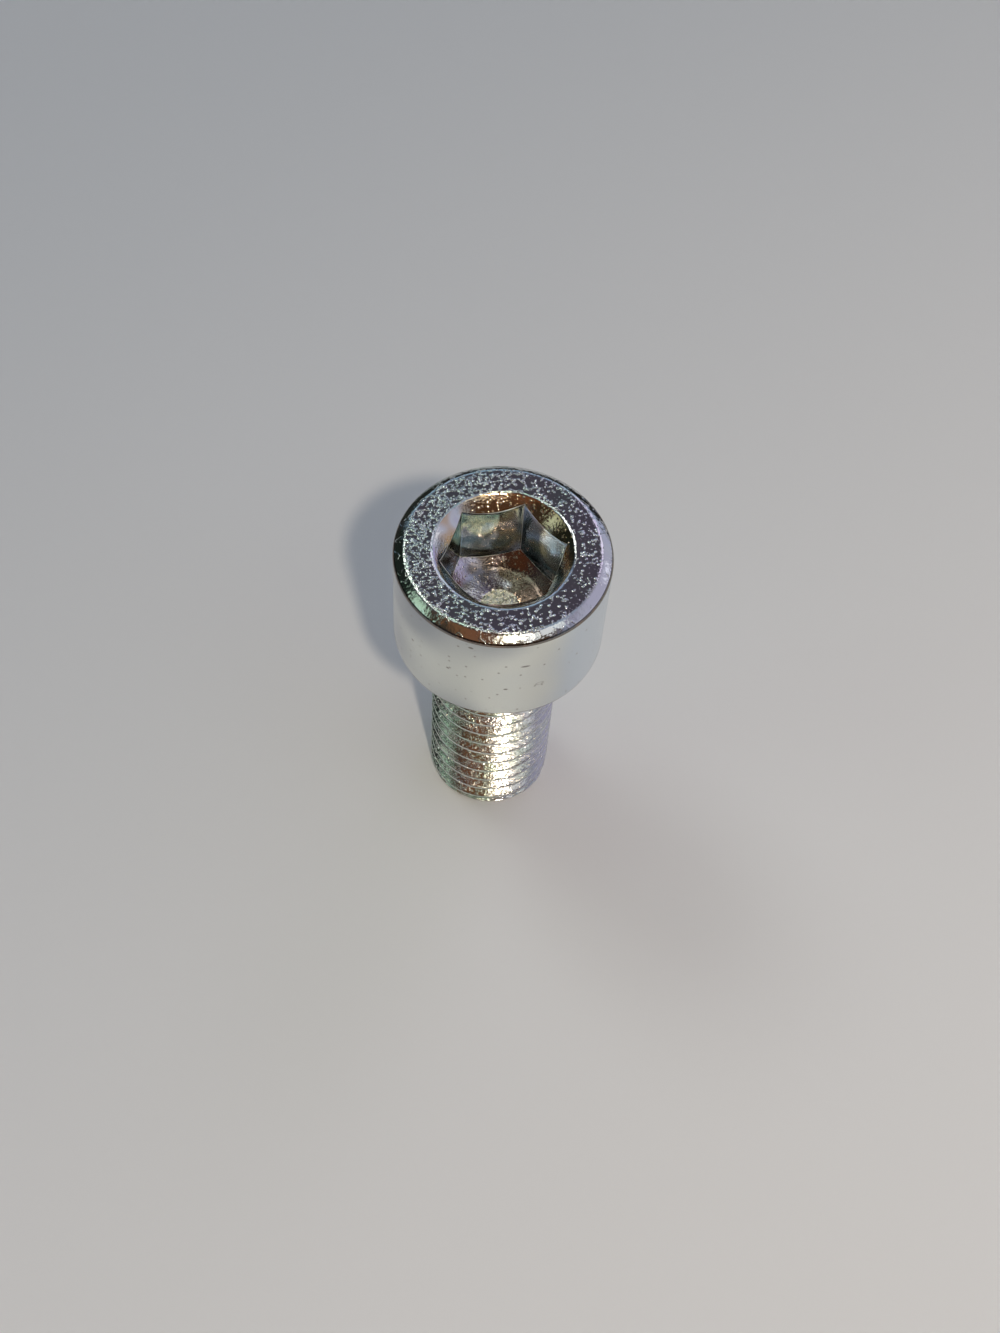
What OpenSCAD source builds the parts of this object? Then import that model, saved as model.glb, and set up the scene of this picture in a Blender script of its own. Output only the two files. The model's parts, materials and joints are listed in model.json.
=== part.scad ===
// Metric hex socket cap screw with a fully threaded shank.
// It stands on its threaded end: the origin is the middle of that end, +Z runs up
// to the head, and two corners of the hexagon lie on the X axis. Millimetres.
// The shank is drawn plain, at the major diameter of its thread.

/* [Head] */
// Diameter of the head
head_d = 16; // [14:0.1:24]
// Height of the head, from its bearing face to its top
head_h = 10; // [8.5:0.1:16]
// Width of the bevel round the top of the head, measured across
crown_w = 0.8; // [0.3:0.05:1.2]
// Height of the bevel round the top of the head
crown_h = 0.55; // [0.2:0.05:1]
// Bevel on the lower edge of the head
seat_bevel = 0.15; // [0.05:0.05:0.4]

/* [Socket] */
// Width across flats of the key
key_size = 8; // [5:0.1:10]
// Clearance between the key and the socket, across flats
key_clearance = 0.1; // [0.03:0.01:0.2]
// Depth of the socket's six corners below the top of the head
flat_depth = 6.15; // [3:0.01:7.5]
// How far the mouth's countersink reaches past the hexagon's corners
mouth_margin = 0.47; // [0.2:0.01:0.6]
// Slope of the mouth's countersink, from level
mouth_slope = 45; // [30:1:60]
// Slope of the floor beside the flats, from level
floor_slope = 30; // [15:1:35]
// Width of that steeper ring of floor, inwards from the corners
floor_ring_w = 1.5; // [0.8:0.05:1.6]
// Slope of the floor inside the ring, from level
inner_slope = 10; // [5:1:20]
// Diameter of the flat spot in the middle of the floor
spot_d = 2.9; // [1:0.1:3]

/* [Shank] */
// Major diameter of the thread
thread_d = 9.9; // [9:0.05:12]
// Length of the shank, from the bearing face to the end
shank_l = 20; // [12:0.5:30]
// Radius of the fillet under the head
fillet_r = 0.4; // [0.2:0.05:0.6]
// Width of the chamfer at the end, measured across
point_w = 0.3; // [0.1:0.05:1]
// Slope of that chamfer, from level
point_slope = 45; // [30:1:60]

/* [Hidden] */
point_r = thread_d / 2 - point_w;
point_h = point_w * tan(point_slope);
total_h = shank_l + head_h;
// Distance from the socket's axis to its corners
corner_r = (key_size + key_clearance) / sqrt(3);
mouth_r = corner_r + mouth_margin;
ring_r = corner_r - floor_ring_w;
// Depths below the top of the head
ring_depth = flat_depth + floor_ring_w * tan(floor_slope);
spot_depth = ring_depth + (ring_r - spot_d / 2) * tan(inner_slope);
// How far a cutter runs past the face that it opens
overrun = 1;
// Facets of a round, and of the hexagon
round_fn = 96;
hex_fn = 6;

// Head: a turned blank, bevelled at the top and at its seat
module head_blank() {
    translate([0, 0, shank_l])
        rotate_extrude($fn = round_fn)
            polygon([
                [0, 0],
                [head_d / 2 - seat_bevel, 0],
                [head_d / 2, seat_bevel],
                [head_d / 2, head_h - crown_h],
                [head_d / 2 - crown_w, head_h],
                [0, head_h]
            ]);
}

// Shank: a plain bar at the thread's major diameter, with a chamfered end
module shank() {
    cylinder(h = point_h, r1 = point_r, r2 = thread_d / 2, $fn = round_fn);
    translate([0, 0, point_h])
        cylinder(h = shank_l - point_h + seat_bevel, d = thread_d, $fn = round_fn);
}

// Fillet that runs from the shank out to the bearing face
module root_fillet() {
    translate([0, 0, shank_l - fillet_r])
        rotate_extrude($fn = round_fn)
            translate([thread_d / 2, 0])
                difference() {
                    square(fillet_r);
                    translate([fillet_r, 0])
                        circle(r = fillet_r, $fn = round_fn);
                }
}

// Section of the floor's cutter: a steep ring, a shallow cone and a flat spot
module floor_section() {
    polygon([
        [0, total_h + overrun],
        [0, total_h - spot_depth],
        [spot_d / 2, total_h - spot_depth],
        [ring_r, total_h - ring_depth],
        [corner_r, total_h - flat_depth],
        [corner_r, total_h + overrun]
    ]);
}

// Hexagon of the socket, whose floor is dished
module hex_recess() {
    intersection() {
        translate([0, 0, total_h - spot_depth])
            cylinder(h = spot_depth + overrun, r = corner_r, $fn = hex_fn);
        rotate_extrude($fn = round_fn)
            floor_section();
    }
}

// Countersink at the mouth of the socket
module mouth() {
    mouth_depth = mouth_r * tan(mouth_slope);
    over_r = mouth_r + overrun / tan(mouth_slope);
    translate([0, 0, total_h - mouth_depth])
        cylinder(h = mouth_depth + overrun, r1 = 0, r2 = over_r, $fn = round_fn);
}

module cap_screw() {
    color("silver")
        difference() {
            union() {
                head_blank();
                shank();
                root_fillet();
            }
            hex_recess();
            mouth();
        }
}

cap_screw();
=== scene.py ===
"""A zinc-plated hex socket cap screw that stands on its threaded end on a pale sheet.

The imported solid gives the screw's place and its overall sizes. The piece made here stands
for it: one closed mesh with the socket, the rolled thread and the softened edges of the real
screw. Lengths are metres, +Z runs up the screw, and the middle of the threaded end is the
origin.
"""

import json
import logging
import math
from dataclasses import dataclass
from enum import Enum
from typing import Iterator, Sequence

import bmesh
import bpy
from mathutils import Matrix, Vector, noise


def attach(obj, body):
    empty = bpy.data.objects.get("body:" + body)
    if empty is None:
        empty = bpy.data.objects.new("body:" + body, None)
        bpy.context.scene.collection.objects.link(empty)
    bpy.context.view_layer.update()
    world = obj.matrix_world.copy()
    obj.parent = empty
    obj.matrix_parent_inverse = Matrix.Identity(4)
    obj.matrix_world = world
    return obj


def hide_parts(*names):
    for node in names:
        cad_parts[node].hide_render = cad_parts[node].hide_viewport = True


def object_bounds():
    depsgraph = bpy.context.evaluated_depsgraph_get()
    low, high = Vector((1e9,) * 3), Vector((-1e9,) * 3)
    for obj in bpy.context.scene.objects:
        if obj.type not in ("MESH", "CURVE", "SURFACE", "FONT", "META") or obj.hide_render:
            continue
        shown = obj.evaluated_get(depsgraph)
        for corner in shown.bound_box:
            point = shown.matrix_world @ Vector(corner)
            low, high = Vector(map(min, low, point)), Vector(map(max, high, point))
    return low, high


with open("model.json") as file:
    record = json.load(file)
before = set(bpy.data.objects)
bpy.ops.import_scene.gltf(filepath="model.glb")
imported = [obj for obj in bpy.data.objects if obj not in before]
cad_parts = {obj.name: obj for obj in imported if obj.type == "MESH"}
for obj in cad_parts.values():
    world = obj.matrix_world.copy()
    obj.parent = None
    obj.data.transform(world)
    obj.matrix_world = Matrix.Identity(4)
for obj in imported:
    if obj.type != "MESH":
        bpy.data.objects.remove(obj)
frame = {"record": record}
CAD_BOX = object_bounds()
WALL_R = CAD_BOX[1].x

LOG = logging.getLogger("cap_screw")

MM = 0.001
NODE = "cap_screw"
PIECE = "plated_screw"
BODY = "root"
STEPS = 180
FLATS = 6
# The metric thread's form
THREAD_ANGLE = 60.0
THREAD_DEPTH = 17.0 / 24.0
SHARP_PER_ROOT_ROUND = 6.0
PITCH_PER_HALF_CREST = 16.0
# How close two lengths, and two vertices, have to be to count as one
SLACK = 0.002 * MM
MERGE = 0.1 * SLACK
ROLL_SEGMENTS = 3
MATT = 0.9
UP = Vector((0.0, 0.0, 1.0))

Colour = tuple[float, float, float]
Section = Iterator[tuple[float, float]]


def tan_deg(angle: float) -> float:
    """The tangent of an angle in degrees."""
    return math.tan(math.radians(angle))


def direction(azimuth: float, elevation: float) -> Vector:
    """A unit vector from two angles.

    Args:
        azimuth: degrees from +X towards +Y.
        elevation: degrees above the horizon.

    Returns:
        The vector that points there from the origin.
    """
    turn, lift = math.radians(azimuth), math.radians(elevation)
    return Vector((math.cos(turn) * math.cos(lift), math.sin(turn) * math.cos(lift), math.sin(lift)))


def smooth_step(low: float, high: float, value: float) -> float:
    """0 up to low, 1 from high on, and a smooth rise between them."""
    share = min(1.0, max(0.0, (value - low) / (high - low)))
    return share * share * (3.0 - 2.0 * share)


def axis_distance(point: Vector) -> float:
    """Distance of a point from the screw's axis."""
    return math.hypot(point.x, point.y)


def near(value: float, target: float) -> bool:
    """True where two lengths are the same to a few microns."""
    return abs(value - target) < SLACK


def set_radius(vert: bmesh.types.BMVert, radius: float) -> None:
    """Moves a vertex straight out from the axis, or in to it.

    Args:
        vert: the vertex.
        radius: its new distance from the axis.
    """
    scale = radius / axis_distance(vert.co)
    vert.co.x *= scale
    vert.co.y *= scale


def wire(bm: bmesh.types.BMesh, points: Sequence[tuple[float, float]]) -> list:
    """Draws a chain of edges in the half plane through +X.

    Args:
        bm: the mesh that gets the chain.
        points: radius and height of each vertex.

    Returns:
        The chain's vertices and edges.
    """
    verts = [bm.verts.new((radius, 0.0, height)) for radius, height in points]
    return [*verts, *(bm.edges.new(pair) for pair in zip(verts, verts[1:]))]


def rim(bm: bmesh.types.BMesh, height: float) -> list[bmesh.types.BMEdge]:
    """The open edges of a mesh at one height."""
    return [e for e in bm.edges if e.is_boundary and all(near(v.co.z, height) for v in e.verts)]


def ring(bm: bmesh.types.BMesh, radius: float, height: float) -> list[bmesh.types.BMEdge]:
    """The edges that run round the axis at one radius and one height."""
    return [
        e for e in bm.edges
        if all(near(axis_distance(v.co), radius) and near(v.co.z, height) for v in e.verts)
    ]


class Region(Enum):
    """The parts of the surface that have a look of their own."""

    FACE = "face"
    CROWN = "crown"
    WALL = "wall"
    MOUTH = "mouth"
    FLATS = "flats"
    FLOOR = "floor"
    SPOT = "spot"
    THREAD = "thread"
    # Rounded hexagon edges, coloured as a painted highlight
    BURR = "burr"
    # Rounded crown and bearing-face edges, coloured as painted shade
    LIP = "lip"

    @property
    def slot(self) -> int:
        """The region's place among the piece's materials."""
        return list(Region).index(self)


def roll_edges(
    bm: bmesh.types.BMesh, edges: list[bmesh.types.BMEdge], width: float, region: Region | None = None
) -> None:
    """Rounds edges over a width on either side.

    Args:
        bm: the mesh.
        edges: the edges to round.
        width: how far the rounding reaches on either side of each edge.
        region: the region that the rounding belongs to, if it has a look of its own.
    """
    made = bmesh.ops.bevel(
        bm, geom=edges, offset=width, offset_type="OFFSET", segments=ROLL_SEGMENTS, profile=0.5,
        affect="EDGES", material=-1, clamp_overlap=True,
    )
    if region:
        for face in made["faces"]:
            face.material_index = region.slot


def to_mesh(name: str, bm: bmesh.types.BMesh) -> bpy.types.Mesh:
    """Turns a finished bmesh into mesh data.

    Args:
        name: the name of the mesh.
        bm: the bmesh, which is freed.

    Returns:
        The new mesh.
    """
    data = bpy.data.meshes.new(name)
    bm.to_mesh(data)
    bm.free()
    return data


@dataclass
class Shank:
    """The rolled shank: a right-hand metric thread, its run-out and its chamfered end."""

    major_r: float
    seat_z: float
    pitch: float = 1.5 * MM
    crest_z: float = 1.387 * MM
    spare_turns: int = 2
    crest_round: float = 0.05 * MM
    crest_parts: int = 3
    flank_parts: int = 4
    root_parts: int = 3
    point_w: float = 0.3 * MM
    point_slope: float = 45.0
    ring_z: float = 0.28 * MM
    ring_fade: float = 0.32 * MM
    ring_wander: float = 0.1 * MM
    neck_r: float = 4.5 * MM
    fillet_r: float = 0.4 * MM
    runout: tuple[float, float] = (2.4 * MM, 0.9 * MM)
    join_gap: float = 0.1 * MM
    end_rim: float = 0.45 * MM
    end_dish: float = 0.08 * MM
    ripple: float = 0.012 * MM
    ripple_length: float = 0.9 * MM

    def __post_init__(self) -> None:
        """Works out the thread's form from its pitch, in the metric standard's shares."""
        sharp = self.pitch / 2.0 / tan_deg(THREAD_ANGLE / 2.0)
        self.root_r = self.major_r - THREAD_DEPTH * sharp
        self.root_round = sharp / SHARP_PER_ROOT_ROUND
        self.crest_half = self.pitch / PITCH_PER_HALF_CREST
        self.point_r = self.major_r - self.point_w
        self.top_z = self.seat_z - self.fillet_r - self.join_gap

    def half_section(self) -> Section:
        """Draws half a turn's outline, from the middle of a crest to the root beside it.

        Yields:
            The radius and height of each point.
        """
        half_angle = math.radians(THREAD_ANGLE / 2.0)
        yield self.major_r, 0.0
        bend = self.crest_round / math.tan(half_angle)
        for part in range(self.crest_parts + 1):
            turn = 2.0 * half_angle * part / self.crest_parts
            radius = self.major_r - bend * (1.0 - math.cos(turn))
            yield radius, self.crest_half - self.crest_round + bend * math.sin(turn)
        start = self.crest_half - self.crest_round + bend * math.sin(2.0 * half_angle)
        stop = self.pitch / 2.0 - self.root_round * math.cos(half_angle)
        for part in range(1, self.flank_parts):
            height = start + (stop - start) * part / self.flank_parts
            yield self.major_r - (height - self.crest_half) / math.tan(half_angle), height
        for part in range(self.root_parts, -1, -1):
            turn = (0.5 * math.pi - half_angle) * part / self.root_parts
            radius = self.root_r + self.root_round * (1.0 - math.cos(turn))
            yield radius, self.pitch / 2.0 - self.root_round * math.sin(turn)

    def section(self) -> list[tuple[float, float]]:
        """Radius and height over a whole pitch, from one crest to the next."""
        half = list(self.half_section())
        return half + [(radius, self.pitch - height) for radius, height in reversed(half[:-1])]

    def finished_radius(self, point: Vector) -> float:
        """The radius of a point on the thread once its two ends are shaped.

        Args:
            point: a point on the endless thread.

        Returns:
            Its distance from the axis on the real shank, with the faint ripple of rolling and
            the ring of metal that the dies push out to the end.
        """
        radius = axis_distance(point) - self.ripple * abs(noise.noise(point / self.ripple_length))
        start, stop = (self.seat_z - gap for gap in self.runout)
        radius += (self.neck_r - radius) * smooth_step(start, stop, point.z)
        top = self.ring_z + self.ring_wander * noise.noise(point / self.ripple_length)
        groove = (self.major_r - self.root_r) * smooth_step(top, top + self.ring_fade, point.z)
        radius = max(radius, self.major_r - groove)
        return min(radius, self.point_r + point.z / tan_deg(self.point_slope))

    def wind(self, bm: bmesh.types.BMesh) -> None:
        """Winds one pitch of the section round once, and stacks that turn past both ends.

        Args:
            bm: the empty mesh that gets the thread.
        """
        low = self.crest_z - self.spare_turns * self.pitch
        turns = math.ceil((self.seat_z - low) / self.pitch)
        geom = wire(bm, [(radius, low + height) for radius, height in self.section()])
        bmesh.ops.spin(
            bm, geom=geom, cent=(0.0, 0.0, 0.0), axis=UP, dvec=UP * (self.pitch / STEPS),
            angle=math.tau, steps=STEPS, use_merge=False,
        )
        turn = [*bm.verts, *bm.edges, *bm.faces]
        for count in range(1, turns):
            copy = bmesh.ops.duplicate(bm, geom=turn)["geom"]
            verts = [g for g in copy if isinstance(g, bmesh.types.BMVert)]
            bmesh.ops.translate(bm, vec=UP * (self.pitch * count), verts=verts)
        bmesh.ops.remove_doubles(bm, verts=bm.verts, dist=SLACK)

    def cut(self, bm: bmesh.types.BMesh) -> None:
        """Cuts the wound thread square at the end and just under the head.

        Args:
            bm: the mesh of the thread.
        """
        for height, side in ((0.0, "clear_inner"), (self.top_z, "clear_outer")):
            bmesh.ops.bisect_plane(
                bm, geom=[*bm.verts, *bm.edges, *bm.faces], dist=MERGE,
                plane_co=UP * height, plane_no=UP, **{side: True},
            )

    def close_end(self, bm: bmesh.types.BMesh) -> None:
        """Closes the threaded end with a flat rim round a shallow dish.

        Args:
            bm: the mesh of the thread, cut square at its end.
        """
        made = bmesh.ops.contextual_create(bm, geom=rim(bm, 0.0))["faces"]
        bmesh.ops.inset_individual(bm, faces=made, thickness=self.end_rim)
        inner = max(made, key=lambda face: len(face.verts))
        bmesh.ops.inset_individual(bm, faces=[inner], thickness=self.end_rim)
        bmesh.ops.translate(bm, vec=UP * self.end_dish, verts=inner.verts)
        bmesh.ops.poke(bm, faces=[inner])

    def build(self, bm: bmesh.types.BMesh) -> None:
        """Makes the shank, open at its top.

        Args:
            bm: the empty mesh that gets the shank.
        """
        self.wind(bm)
        for vert in bm.verts:
            set_radius(vert, self.finished_radius(vert.co))
        self.cut(bm)
        self.close_end(bm)


@dataclass
class Head:
    """The forged head: bearing face, wall, crown bevel, top face and hexagon socket."""

    radius: float
    seat_z: float
    top_z: float
    neck_r: float
    fillet_r: float
    fillet_parts: int = 5
    seat_bevel: float = 0.15 * MM
    crown_w: float = 0.8 * MM
    crown_h: float = 0.55 * MM
    key_size: float = 8.0 * MM
    key_clearance: float = 0.1 * MM
    flat_depth: float = 6.15 * MM
    mouth_margin: float = 0.47 * MM
    mouth_slope: float = 45.0
    floor_slope: float = 30.0
    floor_ring_w: float = 1.5 * MM
    inner_slope: float = 10.0
    spot_r: float = 1.45 * MM
    seat_rings: int = 3
    wall_rings: int = 10
    crown_rings: int = 2
    face_rings: int = 6
    flat_rings: int = 14
    floor_rings: int = 6
    spot_rings: int = 10
    rim_wobble: float = 0.03 * MM
    rim_wobble_length: float = 1.3 * MM
    flat_wave: float = 0.03 * MM
    flat_wave_length: float = 2.6 * MM
    flat_fade: float = 0.4
    spot_rough: float = 0.10 * MM
    spot_grain: float = 0.40 * MM
    spot_fractal: tuple[float, float, int] = (1.0, 2.0, 3)
    sharp_angle: float = 20.0
    burr_w: float = 0.08 * MM
    mouth_roll: float = 0.19 * MM
    crown_roll: float = 0.16 * MM
    lip_roll: float = 0.17 * MM
    foot_roll: float = 0.12 * MM
    seat_roll: float = 0.05 * MM
    region_edge: float = 0.03 * MM
    upright: float = 0.4

    def __post_init__(self) -> None:
        """Works out the socket's radii and heights."""
        self.flat_r = (self.key_size + self.key_clearance) / 2.0
        self.corner_r = self.flat_r / math.cos(math.pi / FLATS)
        self.mouth_r = self.corner_r + self.mouth_margin
        self.mouth_z = self.top_z - self.mouth_margin * tan_deg(self.mouth_slope)
        self.corner_z = self.top_z - self.flat_depth
        self.ring_r = self.corner_r - self.floor_ring_w
        self.ring_z = self.corner_z - self.floor_ring_w * tan_deg(self.floor_slope)
        self.spot_z = self.ring_z - (self.ring_r - self.spot_r) * tan_deg(self.inner_slope)
        self.neck_z = self.seat_z - self.fillet_r

    def corners(self) -> list[tuple[float, float, int]]:
        """Radius, height and number of parts of each straight run up to a corner of the section."""
        return [
            (self.radius - self.seat_bevel, self.seat_z, self.seat_rings),
            (self.radius, self.seat_z + self.seat_bevel, 1),
            (self.radius, self.top_z - self.crown_h, self.wall_rings),
            (self.radius - self.crown_w, self.top_z, self.crown_rings),
            (self.mouth_r, self.top_z, self.face_rings),
            (self.corner_r, self.mouth_z, 1),
            (self.corner_r, self.corner_z, self.flat_rings),
            (self.ring_r, self.ring_z, self.floor_rings),
            (self.spot_r, self.spot_z, self.floor_rings),
        ]

    def section(self) -> Section:
        """Draws the outline from the neck, round the outside, down to the socket's flat spot.

        Yields:
            The radius and height of each point.
        """
        for part in range(self.fillet_parts + 1):
            turn = 0.5 * math.pi * part / self.fillet_parts
            last = (
                self.neck_r + self.fillet_r * (1.0 - math.cos(turn)),
                self.neck_z + self.fillet_r * math.sin(turn),
            )
            yield last
        for radius, height, parts in self.corners():
            for part in range(1, parts + 1):
                share = part / parts
                yield last[0] + (radius - last[0]) * share, last[1] + (height - last[1]) * share
            last = (radius, height)

    def flat_radius(self, point: Vector) -> float:
        """Finds how far the hexagon is from the axis.

        Args:
            point: any point in the direction that is asked about.

        Returns:
            The distance from the axis to the hexagon in that direction.
        """
        sector = math.tau / FLATS
        turn = math.atan2(point.y, point.x) % sector
        return self.flat_r / math.cos(turn - sector / 2.0)

    def flat_span(self, point: Vector) -> tuple[float, float]:
        """Finds where the hexagon starts and ends.

        Args:
            point: any point in the direction that is asked about.

        Returns:
            The heights of the hexagon's lowest and highest point in that direction.
        """
        inside = self.corner_r - self.flat_radius(point)
        low = self.corner_z - inside * tan_deg(self.floor_slope)
        return low, self.mouth_z - inside * tan_deg(self.mouth_slope)

    def on_hexagon(self, point: Vector) -> bool:
        """Tells whether a point lies on the socket's flats.

        Args:
            point: the point.

        Returns:
            True where it does.
        """
        low, high = self.flat_span(point)
        inside = low - SLACK < point.z < high + SLACK
        return inside and near(axis_distance(point), self.flat_radius(point))

    def broach(self, bm: bmesh.types.BMesh) -> None:
        """Draws the round bore in to a hexagon that ends on the mouth's cone and the floor's.

        Args:
            bm: the mesh of the turned head.
        """
        for vert in bm.verts:
            inside = self.corner_z - SLACK < vert.co.z < self.mouth_z + SLACK
            if not inside or not near(axis_distance(vert.co), self.corner_r):
                continue
            share = (vert.co.z - self.corner_z) / (self.mouth_z - self.corner_z)
            low, high = self.flat_span(vert.co)
            set_radius(vert, self.flat_radius(vert.co))
            vert.co.z = low + (high - low) * share

    def soften(self, bm: bmesh.types.BMesh) -> None:
        """Rounds the edges as forging and tumbling leave them.

        Args:
            bm: the mesh of the broached head.
        """
        sharp = math.radians(self.sharp_angle)
        hexagon = [
            e for e in bm.edges
            if all(self.on_hexagon(v.co) for v in e.verts) and e.calc_face_angle(0.0) > sharp
        ]
        # The rounded hexagon edges get the region coloured as a painted highlight
        roll_edges(bm, hexagon, self.burr_w, Region.BURR)
        # The last three roundings, the lower crown edge and the bearing-face edges, get the region coloured
        # as painted shade
        for radius, height, width, region in (
            (self.mouth_r, self.top_z, self.mouth_roll, None),
            (self.radius - self.crown_w, self.top_z, self.crown_roll, None),
            (self.radius, self.top_z - self.crown_h, self.lip_roll, Region.LIP),
            (self.radius, self.seat_z + self.seat_bevel, self.foot_roll, Region.LIP),
            (self.radius - self.seat_bevel, self.seat_z, self.seat_roll, Region.LIP),
        ):
            roll_edges(bm, ring(bm, radius, height), width, region)

    def weather(self, bm: bmesh.types.BMesh) -> None:
        """Gives the mouth and the flats the unevenness of a cold-forged socket.

        Args:
            bm: the mesh of the head with its edges rounded.
        """
        for vert in bm.verts:
            if vert.co.z < self.spot_z - SLACK or axis_distance(vert.co) < SLACK:
                continue
            radius = axis_distance(vert.co)
            if near(radius, self.flat_radius(vert.co)) and vert.co.z < self.mouth_z:
                low, high = self.flat_span(vert.co)
                corner = (self.corner_r - radius) / (self.corner_r - self.flat_r)
                fade = smooth_step(0.0, self.flat_fade, corner)
                wave = noise.noise(vert.co / self.flat_wave_length)
                set_radius(vert, radius + self.flat_wave * fade * wave)
            elif vert.co.z > self.mouth_z - self.crown_h and radius < self.mouth_r + self.mouth_margin:
                wave = noise.noise(vert.co / self.rim_wobble_length)
                set_radius(vert, radius + self.rim_wobble * wave)

    def close_spot(self, bm: bmesh.types.BMesh) -> None:
        """Fills the flat spot with a rough face, as the end of the punch leaves it.

        Args:
            bm: the mesh of the broached head, open at the spot.
        """
        edges = rim(bm, self.spot_z)
        for part in range(1, self.spot_rings):
            made = bmesh.ops.extrude_edge_only(bm, edges=edges)["geom"]
            edges = [g for g in made if isinstance(g, bmesh.types.BMEdge) and g.is_boundary]
            radius = self.spot_r * (1.0 - part / self.spot_rings)
            for vert in (g for g in made if isinstance(g, bmesh.types.BMVert)):
                set_radius(vert, radius)
                vert.co.z = self.spot_z
                lift = noise.fractal(vert.co / self.spot_grain, *self.spot_fractal)
                vert.co.z += self.spot_rough * lift
        bmesh.ops.poke(bm, faces=bmesh.ops.contextual_create(bm, geom=edges)["faces"])

    def build(self, bm: bmesh.types.BMesh) -> None:
        """Makes the head, open at its neck.

        Args:
            bm: the mesh that gets the head, beside the shank.
        """
        bmesh.ops.spin(
            bm, geom=wire(bm, list(self.section())), cent=(0.0, 0.0, 0.0), axis=UP,
            angle=math.tau, steps=STEPS, use_merge=True,
        )
        self.broach(bm)
        self.close_spot(bm)
        self.soften(bm)
        self.weather(bm)

    def region(self, face: bmesh.types.BMFace) -> Region:
        """Finds which part of the surface a face belongs to.

        Args:
            face: a face of the finished screw.

        Returns:
            Its region.
        """
        middle = face.calc_center_median()
        radius, edge = axis_distance(middle), self.region_edge
        if middle.z < self.neck_z:
            return Region.THREAD
        if radius > self.mouth_r:
            if middle.z > self.top_z - edge and radius < self.radius - self.crown_w:
                return Region.FACE
            return Region.CROWN if middle.z > self.top_z - self.crown_h - edge else Region.WALL
        cone_z = self.top_z - (self.mouth_r - radius) * tan_deg(self.mouth_slope)
        if middle.z > cone_z - edge:
            return Region.MOUTH
        if abs(face.normal.z) < self.upright:
            return Region.FLATS
        return Region.SPOT if radius < self.spot_r else Region.FLOOR


class Nodes:
    """A node tree that is being written."""

    def __init__(self, tree: bpy.types.NodeTree) -> None:
        """Empties the tree."""
        self.tree = tree
        tree.nodes.clear()

    def add(self, kind: str, inputs: dict | None = None, **settings: object) -> bpy.types.Node:
        """Adds a node.

        Args:
            kind: the node's type, without its ShaderNode prefix.
            inputs: a number, colour or output socket for each named or numbered input.
            settings: the node's own settings.

        Returns:
            The new node.
        """
        node = self.tree.nodes.new(f"ShaderNode{kind}")
        for name, value in settings.items():
            setattr(node, name, value)
        for key, value in (inputs or {}).items():
            if isinstance(value, bpy.types.NodeSocket):
                self.tree.links.new(value, node.inputs[key])
            else:
                node.inputs[key].default_value = value
        return node

    def grain(self, place: bpy.types.NodeSocket, size: float, detail: float = 2.0) -> bpy.types.NodeSocket:
        """Noise from 0 to 1 whose lumps are about size metres across."""
        node = self.add("TexNoise", {"Vector": place, "Scale": 1.0 / size, "Detail": detail})
        return node.outputs["Fac"]

    def ramp(
        self, value: bpy.types.NodeSocket, start: float, stop: float, low: float = 0.0, high: float = 1.0
    ) -> bpy.types.NodeSocket:
        """Takes a value from start..stop to low..high, with soft ends."""
        inputs = {"Value": value, 1: start, 2: stop, 3: low, 4: high}
        return self.add("MapRange", inputs, interpolation_type="SMOOTHSTEP").outputs[0]

    def maths(self, operation: str, first: object, second: object) -> bpy.types.NodeSocket:
        """Joins two numbers."""
        return self.add("Math", {0: first, 1: second}, operation=operation).outputs[0]

    def scale(self, share: bpy.types.NodeSocket, low: float, high: float) -> bpy.types.NodeSocket:
        """Takes a share from 0..1 to low..high."""
        return self.add("MapRange", {"Value": share, 3: low, 4: high}).outputs[0]

    def mix(self, share: object, first: object, second: object) -> bpy.types.NodeSocket:
        """Blends two colours."""
        inputs = {0: share, 6: first, 7: second}
        return self.add("Mix", inputs, data_type="RGBA").outputs[2]


def new_material(name: str) -> tuple[bpy.types.Material, Nodes]:
    """Starts a material.

    Args:
        name: the name of the material.

    Returns:
        The material and its empty node tree.
    """
    made = bpy.data.materials.new(name)
    made.use_nodes = True
    return made, Nodes(made.node_tree)


def rgba(colour: Colour) -> tuple[float, float, float, float]:
    """A colour with full alpha."""
    return (*colour, 1.0)


class Tint(Enum):
    """The faint interference colours of clear-passivated zinc, with darker and lighter tones that some
    platings use for painted shade, painted reflection and painted highlight.
    """

    SILVER = (0.80, 0.815, 0.79)
    PEARL = (0.78, 0.77, 0.80)
    LILAC = (0.70, 0.65, 0.80)
    ORCHID = (0.94, 0.86, 1.0)
    MINT = (0.75, 0.84, 0.78)
    FERN = (0.48, 0.64, 0.60)
    SAGE = (0.90, 0.93, 0.77)
    DUSK = (0.72, 0.84, 0.98)
    STRAW = (0.86, 0.81, 0.66)
    BRIGHT = (0.87, 0.89, 0.83)
    SLATE = (0.46, 0.49, 0.52)
    SKY = (0.70, 0.77, 0.83)
    # Near black: painted shade on rounded edges and dints, and the colour of the plate's dark specks
    SOOT = (0.22, 0.20, 0.18)
    UMBER = (0.27, 0.21, 0.17)
    MOSS = (0.61, 0.71, 0.62)
    STEEL = (0.69, 0.70, 0.655)
    ASH = (0.66, 0.65, 0.67)
    BRONZE = (0.74, 0.58, 0.40)
    FOIL = (1.0, 0.96, 0.84)


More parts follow.
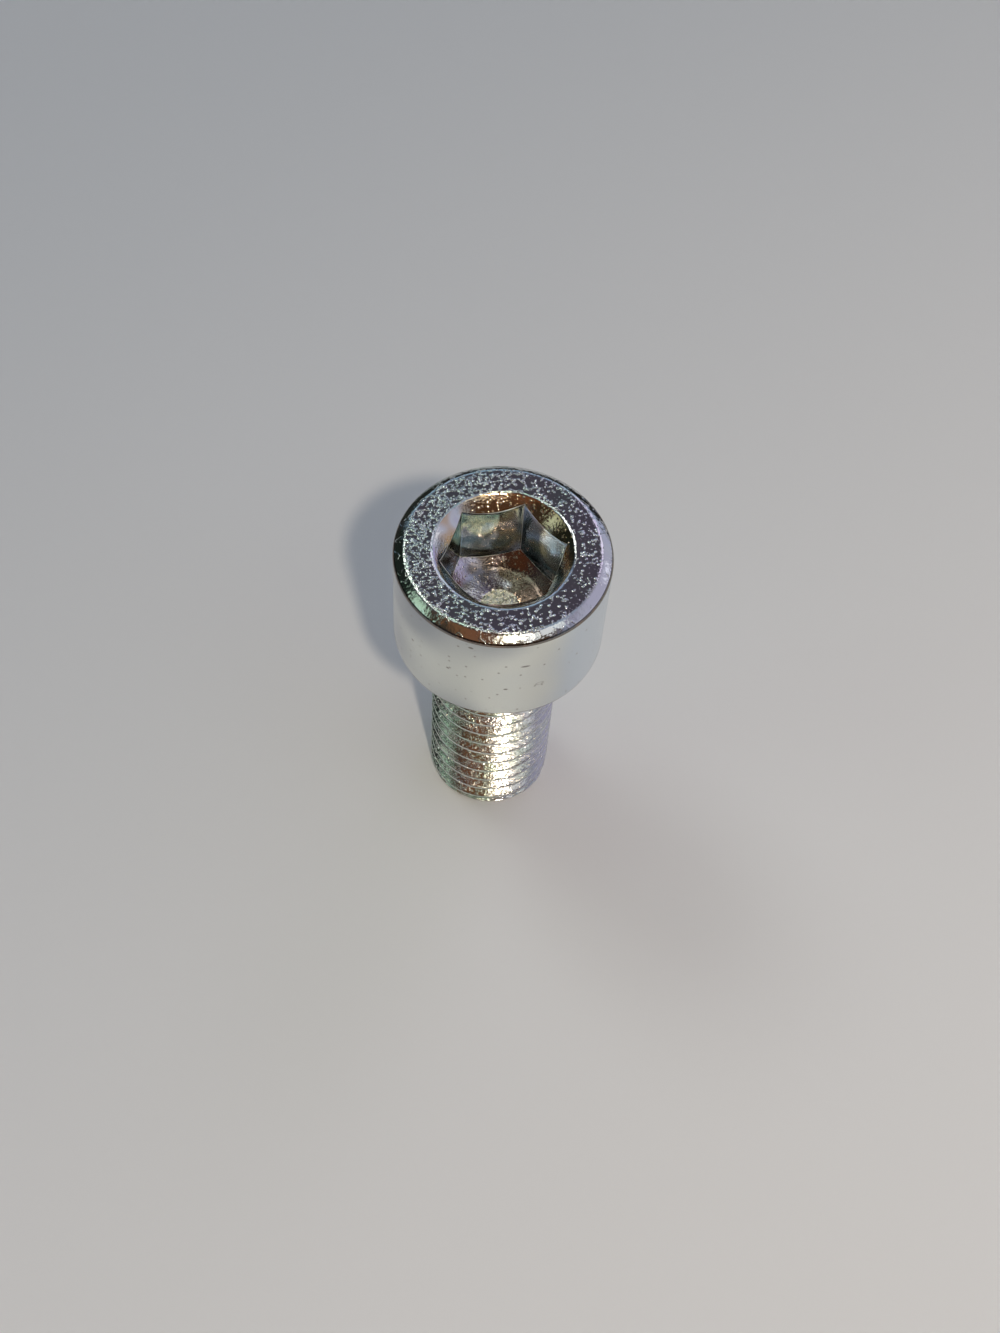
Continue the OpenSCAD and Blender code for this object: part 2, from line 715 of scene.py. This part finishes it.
# Where the film's tints change, and how frost, lumps, the painted shade of dints, and specks fade in and
# out
FILM_DETAIL = 1.0
FILM_STOPS = (0.3, 0.5, 0.7)
FROST_EDGE = 0.08
PIMPLE_RIM = 0.5
PIMPLE_EDGE = 0.2
DINT_SPAN = (0.6, 1.3)
DINT_COVER = 0.85
HOLLOW_SPAN = (0.4, 0.8)
HOLLOW_COVER = 0.6
SPECK_SPAN = (0.1, 0.24)
SPECK_CHANCE = (0.66, 0.80)


@dataclass(frozen=True)
class Mark:
    """A small dint in the head's wall, or a ring pressed into it, drawn only as painted shade: a dark patch
    in the colour, with no dent in the shape.
    """

    azimuth: float
    height: float
    half_width: float
    half_height: float
    hollow: bool = False


@dataclass(frozen=True)
class Plating:
    """Bright zinc plate over one kind of forged or rolled steel surface.

    Its colour runs from the first tint through the second to the third along a direction,
    broken up by clouds. The clouds are the plate's own random tint; the run along the direction
    is painted reflection and painted shade, the colours and dark sides that the room mirrors
    laid into the colour. The dark edge region uses it for painted shade alone, the bright edge
    region for painted highlight alone. Frost is where the plate has grown in small steep crystals.
    """

    name: str
    tints: tuple[Tint, Tint, Tint]
    cloud_size: float
    roughness: float
    grain_size: float
    grain_depth: float
    grain_detail: float = 3.0
    drift: float = 0.0
    # How far the painted reflection and painted shade run across the part
    painted_drift_span: float = 0.0
    stretch: Colour = (1.0, 1.0, 1.0)
    metallic: float = 1.0
    frost_size: float = 0.30 * MM
    frost_depth: float = 0.0
    frost_rough: float = 0.0
    frost_share: float = 0.5
    frost_lean: float = 0.0
    pimple_size: float = 0.32 * MM
    pimple_height: float = 0.0
    pimple_share: float = 0.0
    pimple_lean: float = 0.0
    specks: float = 0.0
    speck_size: float = 0.55 * MM
    marks: tuple[Mark, ...] = ()

    def material(self) -> bpy.types.Material:
        """Writes the plating's nodes.

        Returns:
            The new material.
        """
        made, nodes = new_material(self.name)
        place = nodes.add("TexCoord").outputs["Object"]
        drawn = nodes.add("Mapping", {"Vector": place, "Scale": self.stretch}).outputs[0]
        fine = nodes.grain(drawn, self.grain_size, self.grain_detail)
        frost = self.frost(nodes, place)
        depth = nodes.scale(frost, self.grain_depth, self.grain_depth + self.frost_depth)
        height = nodes.maths("ADD", nodes.maths("MULTIPLY", fine, depth), self.pimples(nodes, place))
        bump = nodes.add("Bump", {"Height": height, "Distance": 1.0})
        rough = nodes.scale(frost, self.roughness, self.roughness + self.frost_rough)
        surface = nodes.add("BsdfPrincipled", {
            "Base Color": self.colour(nodes, place), "Metallic": self.metallic, "Roughness": rough,
            "Normal": bump.outputs[0],
        })
        nodes.add("OutputMaterial", {"Surface": surface.outputs[0]})
        return made

    def along(self, nodes: Nodes, place: bpy.types.NodeSocket) -> bpy.types.NodeSocket:
        """How far a point lies along the drift direction, in millimetres."""
        axis = tuple(direction(self.drift, 0.0) / MM)
        return nodes.add("VectorMath", {0: place, 1: axis}, operation="DOT_PRODUCT").outputs["Value"]

    def frost(self, nodes: Nodes, place: bpy.types.NodeSocket) -> bpy.types.NodeSocket:
        """Writes where the plate is frosted.

        Args:
            nodes: the material's node tree.
            place: the point on the screw.

        Returns:
            The share of frost, from 0 to 1.
        """
        grown = nodes.grain(place, self.frost_size)
        if self.frost_lean:
            lean = nodes.maths("MULTIPLY", self.along(nodes, place), self.frost_lean)
            grown = nodes.maths("ADD", grown, lean)
        level = 1.0 - self.frost_share
        return nodes.ramp(grown, level, level + FROST_EDGE)

    def pimples(self, nodes: Nodes, place: bpy.types.NodeSocket) -> object:
        """Writes the small round lumps that forging leaves.

        Args:
            nodes: the material's node tree.
            place: the point on the screw.

        Returns:
            The height of the lumps, or 0 on a plating that has none.
        """
        if not self.pimple_height:
            return 0.0
        cells = nodes.add("TexVoronoi", {"Vector": place, "Scale": 1.0 / self.pimple_size})
        dome = nodes.ramp(cells.outputs["Distance"], 0.0, PIMPLE_RIM, self.pimple_height, 0.0)
        chance = nodes.add("SeparateColor", {0: cells.outputs["Color"]}).outputs[0]
        lean = nodes.maths("MULTIPLY", self.along(nodes, place), self.pimple_lean)
        level = 1.0 - self.pimple_share
        grown = nodes.ramp(nodes.maths("ADD", chance, lean), level, level + PIMPLE_EDGE)
        return nodes.maths("MULTIPLY", dome, grown)

    def dint(self, nodes: Nodes, place: bpy.types.NodeSocket, mark: Mark) -> bpy.types.NodeSocket:
        """Writes the painted shade of one dint or ring in the head's wall.

        Args:
            nodes: the material's node tree.
            place: the point on the screw.
            mark: the dint or ring.

        Returns:
            How much of the mark's painted shade covers the point, from 0 to 1.
        """
        middle = direction(mark.azimuth, 0.0) * WALL_R + UP * mark.height
        away = nodes.add("VectorMath", {0: place, 1: tuple(middle)}, operation="SUBTRACT").outputs[0]
        size = (1.0 / mark.half_width, 1.0 / mark.half_width, 1.0 / mark.half_height)
        scaled = nodes.add("VectorMath", {0: away, 1: size}, operation="MULTIPLY").outputs[0]
        reach = nodes.add("VectorMath", {0: scaled}, operation="LENGTH").outputs["Value"]
        cover = nodes.ramp(reach, *DINT_SPAN, DINT_COVER, 0.0)
        if not mark.hollow:
            return cover
        return nodes.maths("MULTIPLY", cover, nodes.ramp(reach, *HOLLOW_SPAN, 0.0, HOLLOW_COVER))

    def colour(self, nodes: Nodes, place: bpy.types.NodeSocket) -> bpy.types.NodeSocket:
        """Writes the plate's drifting tints, whose run along the drift is painted reflection and painted
        shade, with the painted shade of its marks and a few dark specks.

        Args:
            nodes: the material's node tree.
            place: the point on the screw.

        Returns:
            The plate's colour.
        """
        film = nodes.grain(place, self.cloud_size, FILM_DETAIL)
        # Painted reflection and painted shade: the tints shift along the drift direction
        if self.painted_drift_span:
            drift = nodes.maths("DIVIDE", self.along(nodes, place), self.painted_drift_span / MM)
            film = nodes.maths("ADD", film, drift)
        first, second, third = (rgba(tint.value) for tint in self.tints)
        tinted = nodes.mix(nodes.ramp(film, *FILM_STOPS[:2]), first, second)
        tinted = nodes.mix(nodes.ramp(film, *FILM_STOPS[1:]), tinted, third)
        # Painted shade: each dint and ring is darkened towards near black
        for mark in self.marks:
            tinted = nodes.mix(self.dint(nodes, place, mark), tinted, rgba(Tint.SOOT.value))
        if not self.specks:
            return tinted
        cells = nodes.add("TexVoronoi", {"Vector": place, "Scale": 1.0 / self.speck_size})
        dots = nodes.ramp(cells.outputs["Distance"], *SPECK_SPAN, 1.0, 0.0)
        chance = nodes.add("SeparateColor", {0: cells.outputs["Color"]}).outputs[0]
        few = nodes.ramp(chance, *SPECK_CHANCE)
        share = nodes.maths("MULTIPLY", nodes.maths("MULTIPLY", dots, few), self.specks)
        return nodes.mix(share, tinted, rgba(Tint.SOOT.value))


PLATINGS = {
    # Painted reflection, faint: the tint drifts to mint on the back left of the face, where the room
    # mirrored there is mint
    Region.FACE: Plating(
        "plated_top_face", (Tint.PEARL, Tint.SILVER, Tint.MINT), cloud_size=3.0 * MM, roughness=0.04,
        grain_size=0.17 * MM, grain_depth=0.018 * MM, grain_detail=1.0, drift=150.0, painted_drift_span=40.0 * MM,
        frost_size=0.40 * MM, frost_depth=0.046 * MM, frost_share=0.45, frost_lean=0.009,
        pimple_size=0.25 * MM, pimple_height=0.042 * MM, pimple_share=0.45, pimple_lean=0.010,
    ),
    # Painted reflection: the tint runs from mint on the left of the crown to pearl on its right, the
    # colours the room mirrors on those sides
    Region.CROWN: Plating(
        "plated_crown", (Tint.MINT, Tint.SILVER, Tint.PEARL), cloud_size=2.5 * MM, roughness=0.06,
        grain_size=0.32 * MM, grain_depth=0.025 * MM, drift=-10.0, painted_drift_span=30.0 * MM,
        frost_size=0.8 * MM, frost_depth=0.035 * MM, frost_share=0.45,
    ),
    # Painted shade and painted reflection: the wall runs from dark slate on its left, where it mirrors the
    # cast shadow, to pale blue on its right
    Region.WALL: Plating(
        "plated_wall", (Tint.SLATE, Tint.BRIGHT, Tint.SKY), cloud_size=12.0 * MM, roughness=0.20,
        grain_size=0.30 * MM, grain_depth=0.004 * MM, drift=-10.0, painted_drift_span=28.0 * MM, specks=0.6,
        # Painted shade of small dints and a pressed ring in the wall
        marks=(
            Mark(-88.5, 26.63 * MM, 0.34 * MM, 0.10 * MM),
            Mark(-79.8, 23.81 * MM, 0.36 * MM, 0.18 * MM, hollow=True),
            Mark(-154.1, 25.05 * MM, 0.14 * MM, 0.10 * MM),
            Mark(-117.2, 28.69 * MM, 0.20 * MM, 0.12 * MM),
            Mark(-97.9, 23.70 * MM, 0.16 * MM, 0.10 * MM),
            Mark(-129.4, 24.94 * MM, 0.13 * MM, 0.10 * MM),
        ),
    ),
    # Painted reflection: lilac on the front and left of the mouth, bronze at its back, the colours the room
    # mirrors there
    Region.MOUTH: Plating(
        "plated_mouth", (Tint.LILAC, Tint.SILVER, Tint.BRONZE), cloud_size=2.0 * MM, roughness=0.06,
        grain_size=0.20 * MM, grain_depth=0.018 * MM, drift=60.0, painted_drift_span=16.0 * MM,
        pimple_size=0.24 * MM, pimple_height=0.035 * MM, pimple_share=-0.2, pimple_lean=0.2,
    ),
    # Painted reflection and painted shade: dark green on the left flats, blue on the right ones, standing
    # for what each flat mirrors
    Region.FLATS: Plating(
        "plated_flats", (Tint.FERN, Tint.SAGE, Tint.DUSK), cloud_size=2.4 * MM, roughness=0.08,
        grain_size=0.30 * MM, grain_depth=0.010 * MM, drift=10.0, painted_drift_span=20.0 * MM,
        stretch=(1.0, 1.0, 0.2),
    ),
    # Painted shade and painted reflection: the socket floor is dark brown for the shade at the bottom of
    # the socket, with lilac on its left where it mirrors lilac light
    Region.FLOOR: Plating(
        "plated_socket_floor", (Tint.ORCHID, Tint.UMBER, Tint.UMBER), cloud_size=2.2 * MM, roughness=0.10,
        grain_size=0.17 * MM, grain_depth=0.018 * MM, drift=20.0, painted_drift_span=12.0 * MM,
        pimple_size=0.20 * MM, pimple_height=0.045 * MM, pimple_share=0.3, pimple_lean=0.05,
    ),
    Region.SPOT: Plating(
        "plated_punch_spot", (Tint.STRAW, Tint.FOIL, Tint.FOIL), cloud_size=0.30 * MM, roughness=0.14,
        grain_size=0.30 * MM, grain_depth=0.22 * MM,
    ),
    # Painted reflection: the thread runs from dark moss green on its left to pale ash on its right, the
    # tones the room mirrors on those sides
    Region.THREAD: Plating(
        "plated_thread", (Tint.MOSS, Tint.STEEL, Tint.ASH), cloud_size=2.2 * MM, roughness=0.12,
        grain_size=0.15 * MM, grain_depth=0.020 * MM, grain_detail=1.0, drift=-10.0,
        painted_drift_span=24.0 * MM, frost_size=0.24 * MM, frost_depth=0.034 * MM, frost_rough=0.05,
    ),
    # Painted highlight: the rounded hexagon edges are coloured near white and half metal, so they show as
    # bright lines under any light
    Region.BURR: Plating(
        "burnished_burr", (Tint.FOIL, Tint.BRIGHT, Tint.BRIGHT), cloud_size=1.0 * MM, roughness=0.30,
        grain_size=0.20 * MM, grain_depth=0.03 * MM, metallic=0.5,
    ),
    # Painted shade: the rounded lower crown edge and the bearing-face edges are coloured near black,
    # standing for the dark reflections and shade along them
    Region.LIP: Plating(
        "plated_lip", (Tint.SOOT, Tint.SOOT, Tint.UMBER), cloud_size=0.8 * MM, roughness=0.15,
        grain_size=0.25 * MM, grain_depth=0.03 * MM,
    ),
}


@dataclass
class CapScrew:
    """The whole screw, as one piece."""

    shank: Shank
    head: Head
    crease: float = 28.0

    def mesh(self) -> bmesh.types.BMesh:
        """Builds the closed mesh, its normals outward and its sharp edges marked.

        Returns:
            The mesh, each face with its region's place among the materials.
        """
        bm = bmesh.new()
        self.shank.build(bm)
        self.head.build(bm)
        bmesh.ops.bridge_loops(bm, edges=[*rim(bm, self.shank.top_z), *rim(bm, self.head.neck_z)])
        bmesh.ops.remove_doubles(bm, verts=bm.verts, dist=MERGE)
        bmesh.ops.recalc_face_normals(bm, faces=bm.faces)
        bm.normal_update()
        for face in bm.faces:
            face.smooth = True
            face.material_index = face.material_index or self.head.region(face).slot
        for edge in bm.edges:
            edge.smooth = edge.calc_face_angle(0.0) < math.radians(self.crease)
        return bm

    def make(self) -> bpy.types.Object:
        """Makes the piece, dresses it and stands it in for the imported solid.

        Returns:
            The piece.
        """
        bm = self.mesh()
        open_edges = sum(not edge.is_manifold for edge in bm.edges)
        data = to_mesh(PIECE, bm)
        for region in Region:
            data.materials.append(PLATINGS[region].material())
        piece = bpy.data.objects.new(PIECE, data)
        bpy.context.scene.collection.objects.link(piece)
        piece.modifiers.new("even_normals", "WEIGHTED_NORMAL").keep_sharp = True
        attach(piece, BODY)
        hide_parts(NODE)
        LOG.info("%s: %d faces, %d open edges", piece.name, len(data.polygons), open_edges)
        return piece


@dataclass(frozen=True)
class Glow:
    """A soft patch of the room that the metal mirrors."""

    azimuth: float
    elevation: float
    core: float
    reach: float
    colour: Colour


@dataclass(frozen=True)
class Lamp:
    """A flat lamp that faces the top of the screw."""

    name: str
    azimuth: float
    elevation: float
    distance: float
    width: float
    height: float
    power: float
    colour: Colour


@dataclass(frozen=True)
class Card:
    """A dark card that stands in an arc behind the screw, lower towards its ends."""

    start: float
    stop: float
    taper: float
    height: float
    radius: float
    steps: int = 48

    def foot(self, share: float) -> Vector:
        """The foot of the card, a share of the way along it."""
        return direction(self.start + (self.stop - self.start) * share, 0.0) * self.radius

    def top(self, share: float) -> Vector:
        """Finds the card's top edge.

        Args:
            share: how far along the card, from 0 to 1.

        Returns:
            The point on the top edge.
        """
        span = self.taper / (self.stop - self.start)
        full = smooth_step(0.0, span, share) * smooth_step(0.0, span, 1.0 - share)
        return self.foot(share) + UP * (self.height * full)


@dataclass
class Studio:
    """The sheet under the screw, the lamps, the room's soft light, the card and the camera.

    Each glow is laid over the ones before it.
    """

    aim_z: float = 30.0 * MM
    # Painted light: the paper's colour runs from near to far to stand for the lamps' light falling off
    # across it
    paper_near: Colour = (0.98, 0.985, 1.0)
    paper_far: Colour = (0.56, 0.615, 0.69)
    paper_turn: float = -62.0
    paper_span: tuple[float, float] = (-0.12, 0.115)
    paper_size: float = 4.0
    lamps: tuple[Lamp, ...] = (
        Lamp("bulb", -87.2, 53.1, 1.5, 0.077, 0.077, 7.15, (1.0, 0.84, 0.65)),
        Lamp("warm_window", -87.0, 53.0, 0.4, 0.17, 0.09, 0.046, (1.0, 0.92, 0.76)),
        Lamp("cool_window", -56.0, 51.0, 0.4, 0.22, 0.12, 0.061, (0.93, 1.0, 0.97)),
    )
    horizon: Colour = (0.355, 0.48, 0.655)
    zenith: Colour = (0.060, 0.053, 0.071)
    glows: tuple[Glow, ...] = (
        Glow(5.0, 18.0, 15.0, 55.0, (0.42, 0.42, 0.53)),
        Glow(14.0, 19.0, 2.0, 7.0, (0.90, 0.92, 1.05)),
        Glow(-110.0, 4.0, 25.0, 52.0, (0.07, 0.06, 0.055)),
        Glow(-85.0, 32.0, 22.0, 42.0, (0.075, 0.045, 0.03)),
        Glow(-100.0, 75.0, 12.0, 38.0, (0.06, 0.04, 0.035)),
        Glow(-141.0, 50.0, 6.0, 26.0, (0.17, 0.075, 0.04)),
        Glow(-14.0, 66.0, 8.0, 20.0, (0.28, 0.34, 0.42)),
        Glow(148.0, 12.0, 24.0, 42.0, (0.012, 0.016, 0.014)),
        Glow(-165.0, 28.0, 10.0, 30.0, (0.04, 0.03, 0.022)),
        Glow(174.0, 36.0, 3.0, 12.0, (0.50, 0.64, 0.52)),
        Glow(52.0, 27.0, 4.0, 12.0, (0.72, 0.70, 0.90)),
        Glow(118.0, 76.0, 3.0, 10.0, (0.90, 1.15, 1.0)),
        Glow(150.0, 66.0, 4.0, 12.0, (0.66, 0.86, 0.76)),
        Glow(-178.0, 26.0, 4.0, 9.0, (0.60, 0.80, 0.72)),
        Glow(-60.0, 84.0, 4.0, 8.0, (2.8, 2.7, 2.2)),
        Glow(126.0, 51.0, 5.0, 14.0, (3.2, 3.3, 3.15)),
        Glow(14.0, 0.0, 6.0, 11.0, (0.05, 0.05, 0.07)),
        Glow(48.0, 44.0, 4.0, 13.0, (0.95, 0.87, 1.12)),
    )
    sky_span: tuple[float, float] = (0.2, 0.75)
    card: Card = Card(start=15.0, stop=175.0, taper=40.0, height=0.047, radius=0.12)
    card_colour: Colour = (0.02, 0.022, 0.02)
    backdrop: Colour = (0.50, 0.52, 0.54)
    camera_spot: Vector = Vector((-18.43, -72.44, 134.39)) * MM
    camera_yaw: float = 14.58
    camera_pitch: float = 58.17
    camera_roll: float = 4.57
    camera_lens: float = 48.157
    camera_clip: float = 1.0 * MM

    def link(self, name: str, data: bpy.types.ID, place: Matrix = Matrix()) -> bpy.types.Object:
        """Puts a new object in the scene.

        Args:
            name: the object's name.
            data: its mesh, light or camera.
            place: where it goes.

        Returns:
            The new object.
        """
        made = bpy.data.objects.new(name, data)
        made.matrix_world = place
        bpy.context.scene.collection.objects.link(made)
        return made

    def floor(self) -> None:
        """Lays the sheet of paper, coloured with painted light: lighter towards the front right, darker
        away from it.
        """
        bm = bmesh.new()
        bmesh.ops.create_grid(bm, x_segments=1, y_segments=1, size=self.paper_size / 2.0)
        data = to_mesh("paper", bm)
        made, nodes = new_material("paper")
        place = nodes.add("TexCoord").outputs["Object"]
        toward = tuple(direction(self.paper_turn, 0.0))
        along = nodes.add("VectorMath", {0: place, 1: toward}, operation="DOT_PRODUCT").outputs["Value"]
        # Painted light: lighter towards the front right, darker away from it
        tone = nodes.mix(nodes.ramp(along, *self.paper_span), rgba(self.paper_far), rgba(self.paper_near))
        surface = nodes.add("BsdfPrincipled", {"Base Color": tone, "Roughness": MATT})
        nodes.add("OutputMaterial", {"Surface": surface.outputs[0]})
        data.materials.append(made)
        self.link("paper", data)

    def hang(self, lamp: Lamp) -> None:
        """Hangs one lamp.

        Args:
            lamp: the lamp.
        """
        data = bpy.data.lights.new(lamp.name, "AREA")
        data.shape = "ELLIPSE" if lamp.width == lamp.height else "RECTANGLE"
        data.size, data.size_y = lamp.width, lamp.height
        data.energy = lamp.power
        data.color = lamp.colour
        aim = direction(lamp.azimuth, lamp.elevation)
        turn = aim.to_track_quat("Z", "Y").to_matrix().to_4x4()
        spot = aim * lamp.distance + UP * self.aim_z
        self.link(lamp.name, data, Matrix.Translation(spot) @ turn)

    def stand(self) -> None:
        """Stands up the dark card, which the camera and matt surfaces don't see."""
        bm = bmesh.new()
        shares = [step / self.card.steps for step in range(self.card.steps + 1)]
        rows = [[bm.verts.new(edge(share)) for share in shares] for edge in (self.card.foot, self.card.top)]
        edges = [bm.edges.new(pair) for row in rows for pair in zip(row, row[1:])]
        bmesh.ops.bridge_loops(bm, edges=edges)
        data = to_mesh("dark_card", bm)
        made, nodes = new_material("dark_card")
        surface = nodes.add("BsdfPrincipled", {"Base Color": rgba(self.card_colour), "Roughness": MATT})
        nodes.add("OutputMaterial", {"Surface": surface.outputs[0]})
        data.materials.append(made)
        piece = self.link("dark_card", data)
        piece.visible_camera = piece.visible_diffuse = piece.visible_shadow = False

    def room(self) -> None:
        """Paints the room's soft light on the world."""
        world = bpy.data.worlds.new("room")
        world.use_nodes = True
        bpy.context.scene.world = world
        nodes = Nodes(world.node_tree)
        way = nodes.add("TexCoord").outputs["Generated"]
        height = nodes.add("SeparateXYZ", {0: way}).outputs[2]
        tone = nodes.mix(nodes.ramp(height, *self.sky_span), rgba(self.horizon), rgba(self.zenith))
        for glow in self.glows:
            centre = tuple(direction(glow.azimuth, glow.elevation))
            facing = nodes.add("VectorMath", {0: way, 1: centre}, operation="DOT_PRODUCT").outputs["Value"]
            edge, core = (math.cos(math.radians(angle)) for angle in (glow.reach, glow.core))
            tone = nodes.mix(nodes.ramp(facing, edge, core), tone, rgba(glow.colour))
        seen = nodes.add("LightPath").outputs["Is Camera Ray"]
        tone = nodes.mix(seen, tone, rgba(self.backdrop))
        light = nodes.add("Background", {"Color": tone, "Strength": 1.0})
        nodes.add("OutputWorld", {"Surface": light.outputs[0]})

    def camera(self) -> None:
        """Sets the camera above and in front of the screw."""
        data = bpy.data.cameras.new("camera")
        data.lens = self.camera_lens
        data.clip_start = self.camera_clip
        turn = (
            Matrix.Rotation(math.radians(-self.camera_yaw), 4, "Z")
            @ Matrix.Rotation(math.radians(90.0 - self.camera_pitch), 4, "X")
            @ Matrix.Rotation(math.radians(self.camera_roll), 4, "Z")
        )
        spot = Matrix.Translation(self.camera_spot)
        bpy.context.scene.camera = self.link("camera", data, spot @ turn)

    def build(self) -> None:
        """Sets up everything round the screw."""
        self.floor()
        for lamp in self.lamps:
            self.hang(lamp)
        self.stand()
        self.room()
        self.camera()
        bpy.context.scene.view_settings.view_transform = "Standard"


def mount_of(name: str) -> dict:
    """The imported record's mount of one name."""
    return next(mount for mount in frame["record"]["mounts"] if mount["name"] == name)


def main() -> None:
    """Builds the screw and its studio."""
    logging.basicConfig(level=logging.INFO)
    low, high = CAD_BOX
    shank = Shank(
        major_r=mount_of("thread_shank")["dims"]["r_mm"] * MM,
        seat_z=mount_of("bearing_face")["pos_m"][2],
    )
    head = Head(
        radius=high.x, seat_z=shank.seat_z, top_z=high.z, neck_r=shank.neck_r, fillet_r=shank.fillet_r,
    )
    CapScrew(shank, head).make()
    Studio().build()


if __name__ == "__main__":
    main()
